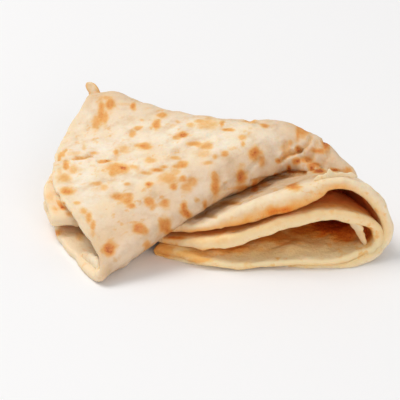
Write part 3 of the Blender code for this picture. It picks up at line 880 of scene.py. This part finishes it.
def scrap_object(name, path, widths, thickness, side, darkening, seed):
    """A torn piece of sheet: a flattened tube along a path, with ragged edges and pinched ends."""
    steps = max(12, round(np.linalg.norm(np.diff(path, axis=0), axis=1).sum() / SCRAP_SPACING))
    where = np.linspace(0, len(path) - 1, steps)
    middle = curve_at(path, where)
    half = curve_at(np.array(widths)[:, None], where)[:, 0] / 2
    half = np.maximum(half + RAGGED * fractal(middle, 4, seed + 11), SCRAP_THINNEST)
    ends = np.sqrt(np.clip(1 - np.abs(np.linspace(-1, 1, steps)) ** SCRAP_PINCH, 0.001, 1))
    turn = np.linspace(0, 2 * np.pi, SCRAP_POINTS, endpoint=False)
    side = np.array(side, float)
    along = np.gradient(middle, axis=0)
    face = unit(np.cross(along, side))
    wide = np.sign(np.cos(turn)) * np.abs(np.cos(turn)) ** SCRAP_SQUARENESS
    high = np.sign(np.sin(turn)) * np.abs(np.sin(turn)) ** SCRAP_SQUARENESS
    points = middle[:, None] + side * (half * ends)[:, None, None] * wide[:, None]
    points = points + face[:, None] * (thickness / 2 * ends)[:, None, None] * high[:, None]
    waves, size = SCRAP_WAVES
    points += waves * np.stack([fractal(points, size, seed + k) for k in range(3)], axis=-1)
    edge = np.tile(np.abs(wide) ** 3, (steps, 1))
    rows = np.arange(edge.size).reshape(edge.shape)
    right = np.roll(rows, -1, axis=1)
    quads = np.stack([rows[:-1], right[:-1], right[1:], rows[1:]], axis=-1).reshape(-1, 4)
    obj = mesh_object(name, (points.reshape(-1, 3) - CENTRE) * TO_METRES, quads)
    toast_and_shade = darkening * (edge + 0.7 * fractal(points, 9, seed + 5) + 0.2)
    set_value(obj, "toast_and_shade", np.clip(toast_and_shade, 0, SCRAP_BROWNEST))
    set_value(obj, "depth", np.full(edge.shape, SCRAP_DEPTH))
    for value in ("inner", "lower", "within", "floor", "shade_under_lobe", "roll_shade_and_tan", "band_underside_shade"):
        set_value(obj, value, np.zeros(edge.shape))
    return obj


def set_value(obj, name, values):
    """Paints one value on each point of a mesh."""
    attribute = obj.data.attributes.new(name, "FLOAT", "POINT")
    attribute.data.foreach_set("value", values.astype(np.float32).ravel())


def mesh_object(name, points, quads):
    """A smooth-shaded mesh object from points in metres and quads."""
    mesh = bpy.data.meshes.new(name)
    mesh.vertices.add(len(points))
    mesh.vertices.foreach_set("co", points.astype(np.float32).ravel())
    mesh.loops.add(quads.size)
    mesh.loops.foreach_set("vertex_index", quads.astype(np.int32).ravel())
    mesh.polygons.add(len(quads))
    mesh.polygons.foreach_set("loop_start", np.arange(0, quads.size, 4, dtype=np.int32))
    mesh.polygons.foreach_set("use_smooth", np.ones(len(quads), bool))
    mesh.update()
    mesh.validate()
    obj = bpy.data.objects.new(name, mesh)
    bpy.context.scene.collection.objects.link(obj)
    return obj


def linear_colour(shade):
    """A colour as a screen shows it, from 0 to 255, in the renderer's terms."""
    parts = np.array(shade) / 255
    linear = np.where(parts <= 0.04045, parts / 12.92, ((parts + 0.055) / 1.055) ** 2.4)
    return (*linear, 1.0)


class Nodes:
    """Short calls that add and link a material's nodes."""

    def __init__(self, material):
        material.use_nodes = True
        self.tree = material.node_tree
        self.shader = self.tree.nodes["Principled BSDF"]

    def put(self, socket, value):
        """Links a socket to another, or sets it."""
        if hasattr(value, "is_linked"):
            self.tree.links.new(value, socket)
        elif value is not None:
            socket.default_value = value

    def value(self, name):
        """A value painted on the mesh."""
        node = self.tree.nodes.new("ShaderNodeAttribute")
        node.attribute_name = name
        return node.outputs["Fac"]

    def noise(self, size, detail, roughness=0.55):
        """Noise with waves of about this many millimetres."""
        place = self.tree.nodes.new("ShaderNodeTexCoord").outputs["Object"]
        node = self.tree.nodes.new("ShaderNodeTexNoise")
        self.put(node.inputs["Vector"], place)
        node.inputs["Scale"].default_value = 1 / (size * TO_METRES)
        node.inputs["Detail"].default_value = detail
        node.inputs["Roughness"].default_value = roughness
        return node.outputs["Fac"]

    def math(self, operation, a, b):
        """Arithmetic on two values."""
        node = self.tree.nodes.new("ShaderNodeMath")
        node.operation = operation
        self.put(node.inputs[0], a)
        self.put(node.inputs[1], b)
        return node.outputs[0]

    def spread(self, value, low, high, start=0.0, end=1.0):
        """A value's range from low to high, stretched to start to end and kept there."""
        node = self.tree.nodes.new("ShaderNodeMapRange")
        for socket, part in zip(node.inputs, (value, low, high, start, end)):
            self.put(socket, part)
        return node.outputs[0]

    def mix(self, share, a, b, blend="MIX"):
        """Two colours mixed."""
        node = self.tree.nodes.new("ShaderNodeMix")
        node.data_type = "RGBA"
        node.blend_type = blend
        self.put(node.inputs["Factor"], share)
        self.put(node.inputs["A"], a)
        self.put(node.inputs["B"], b)
        return node.outputs["Result"]

    def tint(self, share, base, shade):
        """A colour multiplied by another, by a share."""
        return self.mix(share, base, self.mix(1.0, base, linear_colour(shade), "MULTIPLY"))

    def ramp(self, value, stops):
        """A colour for each value, through stops that each have a place and a colour."""
        node = self.tree.nodes.new("ShaderNodeValToRGB")
        self.put(node.inputs["Fac"], value)
        elements = node.color_ramp.elements
        while len(elements) < len(stops):
            elements.new(1.0)
        for element, (place, shade) in zip(elements, stops):
            element.position = place
            element.color = linear_colour(shade)
        return node.outputs["Color"]

    def bump(self, height, distance, normal=None):
        """A bump of this many millimetres."""
        node = self.tree.nodes.new("ShaderNodeBump")
        node.inputs["Distance"].default_value = distance * TO_METRES
        self.put(node.inputs["Height"], height)
        self.put(node.inputs["Normal"], normal)
        return node.outputs["Normal"]


def bread_material():
    """Pale soft bread with mottled cream skin, golden-brown pan spots, a floury grain and painted shade.

    Noise sizes and bump heights are millimetres.
    """
    material = bpy.data.materials.new("bread")
    nodes = Nodes(material)
    shader = nodes.shader
    skin = nodes.ramp(nodes.noise(12, 4), SKIN)
    golden = nodes.spread(nodes.noise(24, 3), 0.48, 0.7, 0, 0.6)
    skin = nodes.mix(golden, skin, linear_colour(GOLDEN_SKIN))
    depth = nodes.math("ADD", nodes.value("depth"), nodes.spread(nodes.noise(9, 3), 0, 1, -5, 5))
    inner = nodes.math("ADD", nodes.value("inner"), nodes.spread(nodes.noise(7, 3), 0, 1, -0.25, 0.25))
    skin = nodes.mix(nodes.spread(depth, 8, 1, 0, 0.5), skin, linear_colour(RIM_SKIN))
    # Painted shade on the lower lobe where the upper lobe covers it.
    skin = nodes.mix(nodes.value("shade_under_lobe"), skin, nodes.ramp(nodes.noise(11, 4), COVERED_SHADE))
    # Painted shade on the front roll, and a darker tone towards the tip and on the back edge.
    skin = nodes.tint(nodes.value("roll_shade_and_tan"), skin, TAN)
    # Painted shade down the hollow's walls, darker deeper in.
    walls = nodes.ramp(nodes.spread(depth, 0, WALLS_DEPTH), HOLLOW_WALLS)
    skin = nodes.mix(nodes.value("within"), skin, walls)
    into = nodes.spread(depth, 0, LINING_DEPTH)
    # Painted shade on the hollow's floor, darker deeper in.
    skin = nodes.mix(nodes.value("floor"), skin, nodes.ramp(into, HOLLOW_FLOOR))
    # Painted shade on the inner faces of both lobes, darker deeper in.
    golden = nodes.ramp(into, GOLDEN_LINING)
    lining = nodes.mix(nodes.value("lower"), nodes.ramp(into, PALE_LINING), golden)
    skin = nodes.mix(nodes.spread(inner, 0.3, 0.75), skin, lining)
    # Painted shade on the underside of the thick band, in patches.
    patchy = nodes.spread(nodes.noise(14, 3), 0.35, 0.65, 0.55, 1)
    skin = nodes.tint(nodes.math("MULTIPLY", nodes.value("band_underside_shade"), patchy), skin, AMBER)
    grain = nodes.noise(2.2, 4, 0.6)
    specks = nodes.spread(nodes.noise(6.5, 3), 0.56, 0.72, 0, 0.34)
    specks = nodes.math("MULTIPLY", specks, nodes.spread(nodes.noise(38, 2), 0.42, 0.6))
    # Pan spots and specks, with the painted shade of the hollow, the tube, a dip and the creases.
    darkening = nodes.math("MAXIMUM", nodes.value("toast_and_shade"), specks)
    darkening = nodes.math("MULTIPLY", darkening, nodes.spread(grain, 0.3, 0.7, 0.78, 1.22))
    skin = nodes.mix(1.0, skin, nodes.ramp(darkening, CRUST_AND_SHADE), "MULTIPLY")
    nodes.put(shader.inputs["Base Color"], skin)
    nodes.put(shader.inputs["Roughness"], nodes.spread(darkening, 0.2, 0.9, 0.72, 0.52))
    shader.inputs["Specular IOR Level"].default_value = SPECULAR
    shader.inputs["Subsurface Weight"].default_value = SUBSURFACE
    shader.inputs["Subsurface Radius"].default_value = SUBSURFACE_RADIUS
    shader.inputs["Subsurface Scale"].default_value = SUBSURFACE_SCALE
    coarse = nodes.bump(nodes.noise(5.5, 5, 0.62), 1.1)
    nodes.put(shader.inputs["Normal"], nodes.bump(nodes.noise(1.1, 3, 0.6), 0.25, coarse))
    return material


def make_floor():
    """A plain pale floor."""
    bpy.ops.mesh.primitive_plane_add(size=FLOOR_SIDE, location=(0, 0, 0))
    floor = bpy.context.object
    floor.name = "floor"
    material = bpy.data.materials.new("floor")
    material.use_nodes = True
    shader = material.node_tree.nodes["Principled BSDF"]
    shader.inputs["Base Color"].default_value = FLOOR_COLOUR
    shader.inputs["Roughness"].default_value = FLOOR_ROUGHNESS
    floor.data.materials.append(material)


def aimed(name, data, place, forward):
    """A lamp or camera at a place in metres that looks along a direction."""
    obj = bpy.data.objects.new(name, data)
    obj.location = place
    obj.rotation_mode = "QUATERNION"
    obj.rotation_quaternion = forward.to_track_quat("-Z", "Y")
    bpy.context.scene.collection.objects.link(obj)
    return obj


def make_light(name, place, size, power, colour):
    """A square lamp that faces the bread."""
    data = bpy.data.lights.new(name, "AREA")
    data.size = size
    data.energy = power
    data.color = colour
    aimed(name, data, place, -Vector(place))


def make_world():
    """Even white light from all round."""
    world = bpy.data.worlds.new("studio")
    world.use_nodes = True
    background = world.node_tree.nodes["Background"]
    background.inputs["Color"].default_value = (1, 1, 1, 1)
    background.inputs["Strength"].default_value = WORLD_STRENGTH
    bpy.context.scene.world = world


def make_camera():
    """The camera of the photograph."""
    eye, _, _, forward = camera_axes()
    data = bpy.data.cameras.new("camera")
    data.sensor_width = SENSOR
    data.lens = SENSOR * DISTANCE / (FRAME_PIXELS * MM_PER_PIXEL)
    place = (eye - CENTRE) * TO_METRES
    bpy.context.scene.camera = aimed("camera", data, place, Vector(forward))


def main():
    """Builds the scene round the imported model."""
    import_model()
    lobes = [
        Sheet("upper_lobe", upper_loop, UPPER_STATIONS, UPPER_LENGTH, UPPER_SEEN, UPPER_WALLS,
              UPPER_TIP_REACH, UPPER_SEED),
        Sheet("lower_lobe", lower_loop, LOWER_STATIONS, LOWER_LENGTH, LOWER_SEEN, LOWER_WALLS,
              LOWER_TIP_REACH, LOWER_SEED),
    ]
    material = bread_material()
    for lobe in lobes:
        lobe.build()
    lobes[0].rest_on_lower()
    sight = Sight(lobes)
    for lobe in lobes:
        lobe.crease(sight)
        lobe.paint(sight)
        lobe.points[..., 2] = np.maximum(lobe.points[..., 2], CENTRE[2])
    pieces = [lobe.to_object() for lobe in lobes]
    for number, (name, scrap) in enumerate(SCRAPS.items()):
        pieces.append(scrap_object(name, *scrap, SCRAP_SEED + 20 * number))
    for piece in pieces:
        piece.data.materials.append(material)
        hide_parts(NODE)
        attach(piece, "root")
    make_floor()
    make_world()
    for name, light in LIGHTS.items():
        make_light(name, *light)
    make_camera()
    bpy.context.scene.view_settings.view_transform = "Standard"


main()
